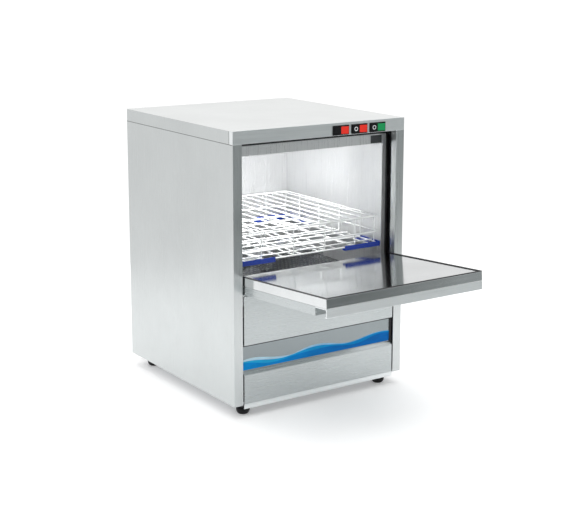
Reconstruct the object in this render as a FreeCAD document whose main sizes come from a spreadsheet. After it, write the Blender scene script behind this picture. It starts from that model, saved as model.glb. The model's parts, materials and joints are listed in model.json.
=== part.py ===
import FreeCAD, Part
import math
import os
import re
import Sketcher

# Commercial under-counter dishwasher: a stainless cabinet with a drop-down door, a wash tub
# with two pairs of spray arms, a wire rack that slides out over the open door, and the pump,
# boiler, drain and controls in the space below and behind the tub.
#
# Frame: +X to the right of a person facing the door, +Y to the back, +Z up. The origin lies on
# the floor, under the middle of the space that the machine takes with its door open. Depths
# below are measured back from the cabinet's front plane, which stands at y = front_y.

CABINET = {
    "cab_width": 590, "cab_depth": 620, "cab_height": 815, "skin": 1.2,
    "band": 37, "wrap": 18, "post_width": 29, "post_return": 23,
    "panel_half": 262, "upper_high": 352, "upper_low": 211, "recess": 11,
    "lip_high": 135, "lip_low": 125, "hem_high": 43, "hem_low": 26, "hem_tuck": 3,
    "base_height": 38, "base_skin": 2, "base_front": 24,
    "foot_radius": 20, "foot_height": 20, "foot_x": 242, "foot_front": 42, "foot_back": 576,
    "stud_radius": 5, "stud_length": 34, "nut_radius": 9, "nut_height": 6,
}
TUB = {
    "tub_half": 255, "tub_front": 53, "tub_back": 566, "tub_bottom": 275, "tub_top": 764,
    "lintel_low": 735, "hem_out": 14, "sill_high": 320, "sill_front": 16,
    "seal_out": 274, "seal_gap": 14.4, "seal_deep": 8, "seal_low": 330, "seal_high": 772,
    "sensor_x": 212, "sensor_width": 40, "sensor_low": 737, "sensor_height": 23,
    "filter_high": 335, "rail_width": 19, "rail_high": 423, "rail_drop": 18,
}
DOOR = {
    "hinge_back": 10, "hinge_height": 367, "door_tilt": 3.8, "door_half": 262.5,
    "door_length": 405, "heel": 8, "pan_rise": 40, "seam_rise": 14, "skin_drop": 10,
    "grip_back": 355, "lip_skin": 3, "lip_hook": 8, "seal_width": 5, "seal_rise": 2,
    "pin_radius": 5, "pin_in": 226, "pin_out": 285, "pin_play": 0.05, "pin_hole": 6.5,
    "plate_skin": 6, "plate_reach": 60, "coil_radius": 6.5, "coil_length": 26,
}
RACK = {
    "rack_half": 250, "rack_depth": 500, "rack_home": 56, "rack_low": 423.3, "rack_top": 517,
    "rim_radius": 2.5, "wire_radius": 2, "rim_low": 432.7, "rim_mid": 467, "wire_gap": 0.1,
    "runner_out": 2.5, "runner_width": 14, "runner_side": 110, "runner_front": 130,
    "runner_base": 6.7, "runner_lip": 14.7, "runner_wall": 2.2,
    "rail_pitch": 38, "grid_pitch": 62, "upright_pitch": 110,
}
WASHING = {
    "arm_y": 310, "spindle_radius": 10, "spindle_play": 0.05, "collar_radius": 14,
    "wash_half": 230, "wash_width": 34, "wash_height": 14, "wash_hub": 24,
    "rinse_half": 190, "rinse_width": 16, "rinse_height": 10, "rinse_hub": 16,
    "hub_rise": 1.5, "arm_skin": 1, "slot_width": 3, "slot_length": 16,
    "lower_wash": 374, "lower_rinse": 396, "upper_wash": 724, "upper_rinse": 706,
    "pump_height": 110, "volute_radius": 55, "volute_width": 50, "volute_wall": 5,
    "impeller_radius": 40, "impeller_width": 20, "shaft_radius": 6,
    "motor_radius": 50, "motor_length": 150, "motor_gap": 4, "pipe_radius": 16, "pipe_wall": 2,
    "feed_radius": 12, "feed_height": 215, "feed_back": 592, "feed_top": 790,
    "suction_x": 80, "drain_x": 215, "drain_y": 120, "drain_height": 80, "drain_radius": 15,
    "overflow_radius": 11.5, "overflow_top": 352, "overflow_low": 262, "rear_reach": 25,
    "spigot_in": 6,
}
SERVICES = {
    "boiler_x": 200, "boiler_y": 460, "boiler_low": 50, "boiler_high": 250, "boiler_radius": 70,
    "inlet_x": 200, "inlet_height": 105, "inlet_radius": 13.22, "inlet_reach": 20,
    "inlet_bore": 8, "valve_width": 44, "valve_tall": 40, "valve_in": 52,
    "valve_coil_radius": 16, "valve_coil_tall": 45, "boiler_wall": 1.5,
    "element_radius": 4, "element_half": 12, "element_tall": 130,
    "tank_element_half": 150, "tank_element_y": 130, "tank_element_deep": 380,
    "box_width": 130, "box_deep": 80, "box_tall": 140, "box_wall": 2,
    "box_x": 135, "box_y": 22, "box_low": 60,
    "doser_width": 70, "doser_deep": 60, "doser_tall": 90, "doser_x": 270, "doser_y": 40,
    "gland_x": 100, "gland_radius": 11, "gland_bore": 4.5, "gland_reach": 12, "cable_hole": 8,
    "switch_first": 64, "switch_pitch": 65.5, "switch_height": 793,
    "bezel_width": 57, "bezel_tall": 28, "bezel_rise": 2, "case_width": 55, "case_tall": 26,
    "case_deep": 26, "case_wall": 1, "rocker_half": 24.3, "rocker_tall": 22,
    "rocker_flush": 1.5, "rocker_proud": 6.4,
    "rocker_pivot": 6, "trunnion": 1.5, "trunnion_play": 0.05,
    "screw_head": 4, "screw_rise": 2, "screw_shank": 2, "screw_length": 8,
    "screw_edge": 15, "screw_first": 60, "screw_pitch": 165, "cover_screw": 240,
    "air_width": 5, "air_height": 60, "air_pitch": 24, "air_low": 190,
}

SWITCHES = ("power", "cycle", "start")
SIDES = {"left": "-1", "right": "1"}


def front_plane():
    """Depth of the front plane that centres the open machine over the origin."""
    tilt = math.radians(DOOR["door_tilt"])
    reach = DOOR["door_length"] * math.cos(tilt) + DOOR["skin_drop"] * math.sin(tilt)
    front = DOOR["hinge_back"] - reach
    return -(front + CABINET["cab_depth"] + WASHING["rear_reach"]) / 2


DIMENSIONS = {**CABINET, **TUB, **DOOR, **RACK, **WASHING, **SERVICES, "front_y": front_plane()}

doc = FreeCAD.newDocument("dishwasher")
nodes = []


def write_sheet():
    """Put every driving dimension in the spreadsheet, under its own name."""
    sheet = doc.addObject("Spreadsheet::Sheet", "Dims")
    for row, (word, value) in enumerate(DIMENSIONS.items(), start=1):
        sheet.set("A%d" % row, word)
        sheet.set("B%d" % row, str(round(value, 4)))
        sheet.setAlias("B%d" % row, word)
    doc.recompute()


def bind(item, target, formula):
    """Bind one property to a formula written in the names of the dimensions."""
    named = re.sub(
        r"[a-z][a-z_]*",
        lambda word: "Dims." + word.group() if word.group() in DIMENSIONS else word.group(),
        str(formula))
    item.setExpression(target, named)


def place(item, at, local=False):
    """Bind a place: x, depth behind the front plane, z. A local place keeps y as it is."""
    x, y, z = at
    bind(item, "Placement.Base.x", x)
    bind(item, "Placement.Base.y", y if local else "front_y + %s" % y)
    bind(item, "Placement.Base.z", z)
    return item


def turn(item, axis, angle):
    item.Placement = FreeCAD.Placement(
        FreeCAD.Vector(0, 0, 0), FreeCAD.Rotation(FreeCAD.Vector(*axis), angle))


def box(name, size, at, local=False):
    item = doc.addObject("Part::Box", name)
    for target, formula in zip(("Length", "Width", "Height"), size):
        bind(item, target, formula)
    return place(item, at, local)


def rod(name, radius, length, at, along="z", local=False):
    """A cylinder that starts at a point and runs along +X, +Y or +Z."""
    item = doc.addObject("Part::Cylinder", name)
    bind(item, "Radius", radius)
    bind(item, "Height", length)
    if along == "x":
        turn(item, (0, 1, 0), 90)
    if along == "y":
        turn(item, (1, 0, 0), -90)
    return place(item, at, local)


def ball(name, radius, at):
    item = doc.addObject("Part::Sphere", name)
    bind(item, "Radius", radius)
    return place(item, at)


def join(name, parts):
    item = doc.addObject("Part::MultiFuse", name)
    item.Shapes = parts
    item.Refine = True
    return item


def cut(name, base, tools):
    """Take the tools out of the base."""
    item = doc.addObject("Part::Cut", name)
    item.Base = base
    item.Tool = tools[0] if len(tools) == 1 else join(name + "_tools", tools)
    return item


def group(name, parts):
    """Separate identical or matching solids that share one node."""
    item = doc.addObject("Part::Compound", name)
    item.Links = parts
    return item


def outline(body, name, role, points):
    """A closed sketch of straight lines on one of the body's planes, with bound corners."""
    sketch = body.newObject("Sketcher::SketchObject", name)
    plane = [item for item in body.Origin.OriginFeatures if item.Role == role][0]
    sketch.AttachmentSupport = [(plane, "")]
    sketch.MapMode = "FlatFace"
    count = len(points)
    guess = [FreeCAD.Vector(math.cos(turn_at), math.sin(turn_at), 0) * 50
             for turn_at in (2 * math.pi * step / count for step in range(count))]
    for step in range(count):
        sketch.addGeometry(Part.LineSegment(guess[step], guess[(step + 1) % count]), False)
    for step in range(count):
        sketch.addConstraint(
            Sketcher.Constraint("Coincident", step, 2, (step + 1) % count, 1))
    for step, corner in enumerate(points):
        for kind, formula, start in zip(("DistanceX", "DistanceY"), corner, guess[step]):
            number = sketch.addConstraint(Sketcher.Constraint(kind, -1, 1, step, 1, start))
            bind(sketch, "Constraints[%d]" % number, formula)
    return sketch


def pad(name, role, points, length, at, local=False):
    """Extrude an outline: XY_Plane runs up, YZ_Plane runs to +X, XZ_Plane runs to -Y."""
    body = doc.addObject("PartDesign::Body", name)
    item = body.newObject("PartDesign::Pad", name + "_pad")
    item.Profile = outline(body, name + "_outline", role, points)
    bind(item, "Length", length)
    return place(body, at, local)


def lathe(name, points, at):
    """Revolve an outline of (radius, height) corners about the upright axis."""
    body = doc.addObject("PartDesign::Body", name)
    sketch = outline(body, name + "_outline", "XZ_Plane", points)
    item = body.newObject("PartDesign::Revolution", name + "_turned")
    item.Profile = sketch
    item.ReferenceAxis = (sketch, ["V_Axis"])
    item.Angle = 360
    return place(body, at)


def pipe(name, radius, wall, stops):
    """A hollow pipe with round elbows through stops that follow the axes."""
    shells = []
    for part, size in (("outside", radius), ("inside", "(%s - %s)" % (radius, wall))):
        runs = []
        for number, (start, end, along, length) in enumerate(stops):
            label = "%s_%s_%d" % (name, part, number)
            runs.append(rod(label + "_run", size, length, start, along))
            if end is not None:
                runs.append(ball(label + "_elbow", size, end))
        shells.append(join("%s_%s" % (name, part), runs) if len(runs) > 1 else runs[0])
    return cut(name, shells[0], [shells[1]])


def keep(item, label):
    item.Label = label
    nodes.append(item)


def hang(item, label):
    """Hang a piece, drawn about the hinge axis, on the open door."""
    turn(item, (-1, 0, 0), DOOR["door_tilt"])
    bind(item, "Placement.Rotation.Angle", "door_tilt")
    place(item, ("0", "hinge_back", "hinge_height"))
    keep(item, label)


# ---- cabinet -----------------------------------------------------------------------------

def side_panel(side, sign):
    """Side sheet, folded at the front into the post and its inward return."""
    edge = "%s * (cab_width / 2 - %%s)" % sign
    corners = [(edge % "0", "0"), (edge % "post_width", "0"),
               (edge % "post_width", "post_return"),
               (edge % "(post_width - skin)", "post_return"),
               (edge % "(post_width - skin)", "skin"), (edge % "skin", "skin"),
               (edge % "skin", "cab_depth"), (edge % "0", "cab_depth")]
    sheet = pad(side + "_side_sheet", "XY_Plane", corners,
                "cab_height - band - base_height", ("0", "0", "base_height"))
    start = "%s * (cab_width / 2 - post_width) - 5" % sign
    hole = rod(side + "_pin_hole", "pin_hole", "10", (start, "hinge_back", "hinge_height"), "x")
    keep(cut(side + "_side_panel", sheet, [hole]), side + "_side_panel")


def screw_places():
    """Screws down both edges of the rear panel, and across the back of the top cover."""
    spots = [("%s * (cab_width / 2 - screw_edge)" % sign, "screw_first + %d * screw_pitch" % step)
             for sign in SIDES.values() for step in range(5)]
    return spots + [("%d * cover_screw" % way, "cab_height - band / 2") for way in (-1, 0, 1)]


def screw_holes(name, spots):
    return [rod("%s_screw_hole_%d" % (name, number), "screw_shank", "6",
                (x, "cab_depth - 3", z), "y") for number, (x, z) in enumerate(spots)]


def rear_panel():
    """Rear sheet with its service holes, a row of air slots and screw holes."""
    sheet = box("rear_sheet", ("cab_width - 2 * skin", "skin", "cab_height - band - base_height"),
                ("-cab_width / 2 + skin", "cab_depth - skin", "base_height"))
    holes = [
        rod("inlet_hole", "inlet_radius + 1", "6",
            ("-inlet_x", "cab_depth - 3", "inlet_height"), "y"),
        rod("drain_hole", "drain_radius + 1", "6",
            ("drain_x", "cab_depth - 3", "drain_height"), "y"),
        rod("gland_hole", "cable_hole", "6", ("gland_x", "cab_depth - 3", "inlet_height"), "y"),
    ]
    for step in range(9):
        holes.append(box("air_slot_%d" % step, ("air_width", "6", "air_height"),
                         ("%d * air_pitch - air_width / 2" % (step - 4), "cab_depth - 3", "air_low")))
    holes += screw_holes("rear", screw_places()[:10])
    keep(cut("rear_panel", sheet, holes), "rear_panel")


def top_cover():
    """Lid sheet with skirts down the sides and back; its front edge tucks behind the fascia."""
    outside = box("cover_block", ("cab_width", "cab_depth - wrap", "band"),
                  ("-cab_width / 2", "wrap", "cab_height - band"))
    inside = box("cover_room",
                 ("cab_width - 2 * skin", "cab_depth - wrap - skin + 1", "band - skin + 1"),
                 ("-cab_width / 2 + skin", "wrap - 1", "cab_height - band - 1"))
    shell = cut("cover_shell", outside, [inside] + screw_holes("cover", screw_places()[10:]))
    tongue = box("cover_tongue", ("cab_width - 2 * skin", "wrap - skin", "skin"),
                 ("-cab_width / 2 + skin", "skin", "cab_height - skin"))
    keep(join("top_cover", [shell, tongue]), "top_cover")


def panel_screws():
    screws = []
    for number, (x, z) in enumerate(screw_places()):
        head = rod("screw_head_%d" % number, "screw_head", "screw_rise", (x, "cab_depth", z), "y")
        shank = rod("screw_shank_%d" % number, "screw_shank", "screw_length",
                    (x, "cab_depth - screw_length", z), "y")
        screws.append(join("screw_%d" % number, [head, shank]))
    keep(group("panel_screws", screws), "panel_screws")


def control_fascia():
    """Front band, wrapped round both corners, with a window for each switch."""
    half = "%scab_width / 2"
    corners = [(half % "-", "0"), (half % "", "0"), (half % "", "wrap"),
               (half % "" + " - skin", "wrap"), (half % "" + " - skin", "skin"),
               (half % "-" + " + skin", "skin"), (half % "-" + " + skin", "wrap"),
               (half % "-", "wrap")]
    band = pad("fascia_band", "XY_Plane", corners, "band", ("0", "0", "cab_height - band"))
    fold = box("fascia_fold", ("cab_width - 2 * skin", "wrap", "skin"),
               ("-cab_width / 2 + skin", "skin", "cab_height - band"))
    windows = [box("window_%d" % number, ("case_width", "wrap + skin + 4", "case_tall"),
                   ("%s - case_width / 2" % switch_x(number), "-2", "switch_height - case_tall / 2"))
               for number in range(len(SWITCHES))]
    keep(cut("control_fascia", join("fascia_sheet", [band, fold]), windows), "control_fascia")


def front_panels():
    """The fixed sheet under the door, the set-back strip, and the lower sheet with its lip."""
    upper = [("0", "upper_low"), ("0", "upper_high"), ("post_return", "upper_high"),
             ("post_return", "upper_high - skin"), ("skin", "upper_high - skin"),
             ("skin", "upper_low + skin"), ("recess", "upper_low + skin"), ("recess", "upper_low")]
    lower = [("hem_tuck", "hem_low"), ("0", "hem_high"), ("0", "lip_low"), ("recess", "lip_high"),
             ("recess", "lip_high - 1.5 * skin"), ("skin", "lip_low - skin / 2"),
             ("skin", "hem_high + skin / 4"), ("hem_tuck + skin", "hem_low")]
    for label, corners in (("front_upper_panel", upper), ("front_lower_panel", lower)):
        keep(pad(label, "YZ_Plane", corners, "2 * panel_half", ("-panel_half", "0", "0")), label)
    strip = box("decor_strip", ("2 * panel_half", "skin", "upper_low - lip_high"),
                ("-panel_half", "recess", "lip_high"))
    keep(strip, "decor_strip")


def foot_places():
    return [("%s * foot_x" % sign, depth)
            for depth in ("foot_front", "foot_back") for sign in SIDES.values()]


def base_and_feet():
    """Base sheet on four screw-in feet."""
    sheet = box("base_sheet", ("cab_width - 2 * skin", "cab_depth - skin - base_front", "base_skin"),
                ("-cab_width / 2 + skin", "base_front", "base_height"))
    holes = []
    feet = []
    studs = []
    profile = [("0", "0"), ("foot_radius - 6", "0"), ("foot_radius - 1", "7"),
               ("foot_radius", "foot_height - 7"), ("foot_radius - 4", "foot_height"),
               ("0", "foot_height")]
    for number, (x, depth) in enumerate(foot_places()):
        holes.append(rod("stud_hole_%d" % number, "stud_radius + 0.3", "10",
                         (x, depth, "base_height - 4")))
        feet.append(lathe("foot_%d" % number, profile, (x, depth, "0")))
        shank = rod("stud_%d" % number, "stud_radius", "stud_length", (x, depth, "foot_height"))
        nut = doc.addObject("Part::Prism", "nut_%d" % number)
        nut.Polygon = 6
        bind(nut, "Circumradius", "nut_radius")
        bind(nut, "Height", "nut_height")
        place(nut, (x, depth, "base_height + base_skin"))
        studs.append(join("foot_stud_%d" % number, [shank, nut]))
    keep(cut("base_plate", sheet, holes), "base_plate")
    keep(group("feet", feet), "feet")
    keep(group("foot_studs", studs), "foot_studs")


# ---- tub ---------------------------------------------------------------------------------

def tub_side(side, sign):
    """Tub side sheet with a flange turned out round the mouth."""
    edge = "%s * (tub_half + %%s)" % sign
    corners = [(edge % "0", "0"), (edge % "0", "tub_back - tub_front"),
               (edge % "skin", "tub_back - tub_front"), (edge % "skin", "skin"),
               (edge % "hem_out", "skin"), (edge % "hem_out", "0")]
    label = "tub_%s_wall" % side
    keep(pad(label, "XY_Plane", corners, "tub_top - tub_bottom",
             ("0", "tub_front", "tub_bottom")), label)


def tub_sheets():
    """Back, ceiling, floor, lintel and sill of the tub."""
    keep(box("tub_rear_wall", ("2 * tub_half", "skin", "tub_top - tub_bottom"),
             ("-tub_half", "tub_back - skin", "tub_bottom")), "tub_rear_wall")
    inner = "tub_back - tub_front - 2 * skin"
    ceiling = box("ceiling_sheet", ("2 * tub_half", inner, "skin"),
                  ("-tub_half", "tub_front + skin", "tub_top - skin"))
    keep(cut("tub_ceiling", ceiling, [
        rod("ceiling_hole", "feed_radius", "6", ("0", "arm_y", "tub_top - 3"))]), "tub_ceiling")
    floor = box("floor_sheet", ("2 * tub_half", inner, "skin"),
                ("-tub_half", "tub_front + skin", "tub_bottom"))
    keep(cut("tub_floor", floor, [
        rod("pump_hole", "pipe_radius", "6", ("0", "arm_y", "tub_bottom - 3")),
        rod("suction_hole", "pipe_radius", "6", ("-suction_x", "arm_y", "tub_bottom - 3")),
        rod("waste_hole", "drain_radius", "6", ("drain_x", "drain_y", "tub_bottom - 3")),
    ]), "tub_floor")
    lintel = box("lintel_sheet", ("2 * tub_half", "skin", "tub_top - lintel_low"),
                 ("-tub_half", "tub_front", "lintel_low"))
    window = box("sensor_window", ("sensor_width", "6", "sensor_height"),
                 ("sensor_x", "tub_front - 3", "sensor_low"))
    keep(cut("tub_lintel", lintel, [window]), "tub_lintel")
    keep(box("door_sensor", ("sensor_width", "12", "sensor_height"),
             ("sensor_x", "tub_front - 1", "sensor_low")), "door_sensor")
    sill = [("tub_front", "tub_bottom"), ("tub_front", "sill_high - skin"),
            ("sill_front", "sill_high - skin + 3"), ("sill_front", "sill_high + 3"),
            ("tub_front + skin", "sill_high"), ("tub_front + skin", "tub_bottom")]
    keep(pad("tub_sill", "YZ_Plane", sill, "2 * tub_half", ("-tub_half", "0", "0")), "tub_sill")


def opening_seal():
    """Black rubber round the sides and top of the tub's mouth."""
    inner = "(tub_half + seal_gap)"
    corners = [("-seal_out", "seal_low"), ("-seal_out", "seal_high"), ("seal_out", "seal_high"),
               ("seal_out", "seal_low"), (inner, "seal_low"), (inner, "tub_top + 0.4"),
               ("-" + inner, "tub_top + 0.4"), ("-" + inner, "seal_low")]
    keep(pad("opening_seal", "XZ_Plane", corners, "seal_deep",
             ("0", "tub_front + seal_deep", "0")), "opening_seal")


def rack_rails():
    """Angle rails on the tub's side walls that carry the rack."""
    rails = []
    for side, sign in SIDES.items():
        edge = "%s * (tub_half - %%s)" % sign
        corners = [(edge % "0", "rail_high - rail_drop"), (edge % "0", "rail_high"),
                   (edge % "rail_width", "rail_high"), (edge % "rail_width", "rail_high - skin"),
                   (edge % "skin", "rail_high - skin"), (edge % "skin", "rail_high - rail_drop")]
        rails.append(pad("rail_" + side, "XZ_Plane", corners, "tub_back - tub_front - 30",
                         ("0", "tub_back - 15", "0")))
    keep(group("rack_rails", rails), "rack_rails")


def surface_filters():
    """Two perforated sheets that cover the tank, left and right."""
    halves = []
    for side, start in (("left", "-tub_half + 2"), ("right", "1")):
        sheet = box("filter_sheet_" + side, ("tub_half - 3", "tub_back - tub_front - 20", "skin"),
                    (start, "tub_front + 10", "filter_high"))
        holes = [rod("filter_centre_" + side, "collar_radius + 2", "6",
                     ("0", "arm_y", "filter_high - 3"))]
        if side == "right":
            holes.append(rod("filter_overflow", "overflow_radius + 3", "6",
                             ("drain_x", "drain_y", "filter_high - 3")))
        halves.append(cut("filter_" + side, sheet, holes))
    keep(group("surface_filters", halves), "surface_filters")


# ---- door --------------------------------------------------------------------------------

def tray(name, size, at, open_top):
    """A folded sheet tray, drawn about the hinge axis, open above or below."""
    length, width, height = size
    x, y, z = at
    block = box(name + "_block", size, at, True)
    shift = "skin" if open_top else "-1"
    room = box(name + "_room",
               (length + " - 2 * skin", "(%s) - 2 * skin" % width, "(%s) - skin + 1" % height),
               (x + " + skin", y + " + skin", "%s + %s" % (z, shift)), True)
    return block, room


def door_shells():
    """Inner pan, and the shorter outer skin that leaves room for fingers behind the lip."""
    block, room = tray("pan", ("2 * door_half", "door_length + heel", "pan_rise - seam_rise"),
                       ("-door_half", "-door_length", "seam_rise"), False)
    hang(cut("door_inner_pan", block, [room]), "door_inner_pan")
    block, room = tray("skin_tray", ("2 * door_half", "grip_back + heel", "seam_rise + skin_drop"),
                       ("-door_half", "-grip_back", "-skin_drop"), True)
    hole = rod("skin_pin_hole", "pin_hole", "2 * door_half + 10", ("-door_half - 5", "0", "0"),
               "x", True)
    hang(cut("door_outer_skin", block, [room, hole]), "door_outer_skin")


def door_handle():
    """Full-width lip at the door's free edge, hooked for the fingers."""
    corners = [("-door_length", "-skin_drop"), ("-door_length", "seam_rise"),
               ("-grip_back", "seam_rise"), ("-grip_back", "seam_rise - lip_skin"),
               ("-door_length + lip_skin", "seam_rise - lip_skin"),
               ("-door_length + lip_skin", "-skin_drop + lip_skin"),
               ("-door_length + lip_hook", "-skin_drop + lip_skin"),
               ("-door_length + lip_hook", "-skin_drop")]
    bar = pad("handle_bar", "YZ_Plane", corners, "2 * door_half", ("-door_half", "0", "0"), True)
    hang(group("door_handle", [bar]), "door_handle")


def door_seal():
    """Black rubber along three edges of the inner face."""
    inner = "door_half - seal_width"
    corners = [("-door_half", "0"), ("-door_half", "-door_length"), ("door_half", "-door_length"),
               ("door_half", "0"), (inner, "0"), (inner, "-door_length + seal_width"),
               ("-(%s)" % inner, "-door_length + seal_width"), ("-(%s)" % inner, "0")]
    strip = pad("seal_strip", "XY_Plane", corners, "seal_rise", ("0", "0", "pan_rise"), True)
    hang(group("door_seal", [strip]), "door_seal")


def hinge_hardware():
    """Brackets and pins on the cabinet; bored plates and closed coil springs in the door."""
    brackets = []
    pins = []
    plates = []
    springs = []
    for side, sign in SIDES.items():
        near = "pin_in" if side == "right" else "-pin_out"
        pins.append(rod("pin_" + side, "pin_radius", "pin_out - pin_in",
                        (near, "hinge_back", "hinge_height"), "x"))
        width = "(pin_out - cab_width / 2 + post_width - skin)"
        start = "pin_out - %s" % width if side == "right" else "-pin_out"
        block = box("bracket_block_" + side, (width, "18", "26"),
                    (start, "2", "hinge_height - 13"))
        bore = rod("bracket_bore_" + side, "pin_radius", width,
                   (start, "hinge_back", "hinge_height"), "x")
        brackets.append(cut("bracket_" + side, block, [bore]))
        flush = "door_half - skin - plate_skin" if side == "right" else "-door_half + skin"
        plate = box("plate_block_" + side, ("plate_skin", "plate_reach + 6", "19"),
                    (flush, "-plate_reach", "-8"), True)
        hole = rod("plate_bore_" + side, "pin_radius + pin_play", "plate_skin + 10",
                   (flush + " - 5", "0", "0"), "x", True)
        plates.append(cut("plate_" + side, plate, [hole]))
        coil_at = "pin_in + 2" if side == "right" else "-pin_in - 2 - coil_length"
        coil = rod("coil_" + side, "coil_radius", "coil_length", (coil_at, "0", "0"), "x", True)
        core = rod("coil_core_" + side, "pin_radius + 0.3", "coil_length + 2",
                   (coil_at + " - 1", "0", "0"), "x", True)
        springs.append(cut("spring_" + side, coil, [core]))
    keep(group("hinge_brackets", brackets), "hinge_brackets")
    keep(group("hinge_pins", pins), "hinge_pins")
    hang(group("door_hinge_plates", plates), "door_hinge_plates")
    hang(group("door_springs", springs), "door_springs")


# ---- rack --------------------------------------------------------------------------------

def ring_wires(name, height):
    """Four straight wires round the rack at one height."""
    reach = "2 * rim_radius + wire_gap"
    wires = []
    for end, depth in (("front", "rack_home + rim_radius"),
                       ("back", "rack_home + rack_depth - rim_radius")):
        wires.append(rod("%s_%s" % (name, end), "rim_radius", "2 * rack_half",
                         ("-rack_half", depth, height), "x"))
    for side, sign in SIDES.items():
        wires.append(rod("%s_%s" % (name, side), "rim_radius", "rack_depth - 2 * (%s)" % reach,
                         ("%s * (rack_half - rim_radius)" % sign, "rack_home + " + reach, height),
                         "y"))
    return wires


def upright_wires():
    """Uprights inside the rims: four to a side and one in each corner."""
    inset = "(2 * rim_radius + wire_radius + wire_gap)"
    spots = []
    for near in ("rack_home + %s" % inset, "rack_home + rack_depth - %s" % inset):
        for sign in SIDES.values():
            spots.append(("%s * (rack_half - %s)" % (sign, inset), near))
        for step in (-1.5, -0.5, 0.5, 1.5):
            spots.append(("%s * upright_pitch" % step, near))
    for sign in SIDES.values():
        for step in (-1.5, -0.5, 0.5, 1.5):
            spots.append(("%s * (rack_half - %s)" % (sign, inset),
                          "rack_home + rack_depth / 2 + %s * upright_pitch" % step))
    return [rod("upright_%d" % number, "wire_radius", "rack_top - rim_low + rim_radius",
                (x, depth, "rim_low - rim_radius")) for number, (x, depth) in enumerate(spots)]


def rack_frame():
    wires = ring_wires("rim_low", "rim_low") + ring_wires("rim_mid", "rim_mid")
    wires += ring_wires("rim_top", "rack_top - rim_radius") + upright_wires()
    keep(group("rack_frame", wires), "rack_frame")


def long_wire(name, x, height):
    """A wire from the front rim to the back rim."""
    return rod(name, "wire_radius", "rack_depth - 4 * rim_radius - 2 * wire_gap",
               (x, "rack_home + 2 * rim_radius + wire_gap", height), "y")


def rack_wires():
    """The floor grid, and the rails at rim height that plates lean on."""
    low = "rim_low + rim_radius - wire_radius"
    grid = [long_wire("grid_long_%d" % step, "%s * grid_pitch" % (step - 3.5), low)
            for step in range(8)]
    for step in range(8):
        grid.append(rod("grid_cross_%d" % step, "wire_radius", "2 * rack_half - 2 * rim_radius",
                        ("-rack_half + rim_radius",
                         "rack_home + rack_depth / 2 + %s * grid_pitch" % (step - 3.5),
                         low + " + 2 * wire_radius + wire_gap"), "x"))
    keep(group("rack_floor_grid", grid), "rack_floor_grid")
    rails = [long_wire("plate_rail_%d" % step, "%d * rail_pitch" % (step - 6),
                       "rack_top - rim_radius") for step in range(13)]
    keep(group("rack_plate_rails", rails), "rack_plate_rails")


def runner(number, sign, front):
    """An L-shaped plastic corner that carries one corner of the rack."""
    def corner(inward, along):
        x = "%s * (rack_half + runner_out - %s)" % (sign, inward)
        y = "-runner_out + %s" % along if front else "rack_depth + runner_out - %s" % along
        return x, y

    def bracket(width):
        return [corner("0", "0"), corner("runner_front", "0"), corner("runner_front", width),
                corner(width, width), corner(width, "runner_side"), corner("0", "runner_side")]

    base = pad("runner_base_%d" % number, "XY_Plane", bracket("runner_width"), "runner_base",
               ("0", "rack_home", "rack_low"))
    lip = pad("runner_lip_%d" % number, "XY_Plane", bracket("runner_wall"), "runner_lip",
              ("0", "rack_home", "rack_low"))
    return join("runner_%d" % number, [base, lip])


def rack_runners():
    corners = [(sign, front) for front in (True, False) for sign in SIDES.values()]
    keep(group("rack_corner_runners",
               [runner(number, *corner) for number, corner in enumerate(corners)]),
         "rack_corner_runners")


# ---- washing -----------------------------------------------------------------------------

def spray_arm(label, kind, height, rest_angle, face_up):
    """A hollow arm about its own axis, with a bored hub and slots along one face."""
    half, width, tall, hub = (kind + word for word in ("_half", "_width", "_height", "_hub"))
    tube = box(label + "_tube", ("2 * " + half, width, tall),
               ("-" + half, "-%s / 2" % width, "0"), True)
    boss = rod(label + "_boss", hub, tall + " + 2 * hub_rise", ("0", "0", "-hub_rise"), local=True)
    room = box(label + "_room", ("2 * (%s - arm_skin)" % half, width + " - 2 * arm_skin",
                                 tall + " - 2 * arm_skin"),
               ("-%s + arm_skin" % half, "-%s / 2 + arm_skin" % width, "arm_skin"), True)
    bore = rod(label + "_bore", "spindle_radius + spindle_play", tall + " + 10",
               ("0", "0", "-5"), local=True)
    slot_low = tall + " - 2" if face_up else "-1"
    slots = [box("%s_slot_%d" % (label, step), ("slot_width", "min(slot_length; %s - 4)" % width, "3"),
                 ("%s * %s - slot_width / 2" % (place_at, half),
                  "-min(slot_length; %s - 4) / 2" % width, slot_low), True)
             for step, place_at in enumerate((-0.9, -0.7, -0.5, -0.3, 0.3, 0.5, 0.7, 0.9))]
    item = cut(label, join(label + "_solid", [tube, boss]), [room, bore] + slots)
    turn(item, (0, 0, 1), rest_angle)
    place(item, ("0", "arm_y", height))
    keep(item, label)


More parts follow.
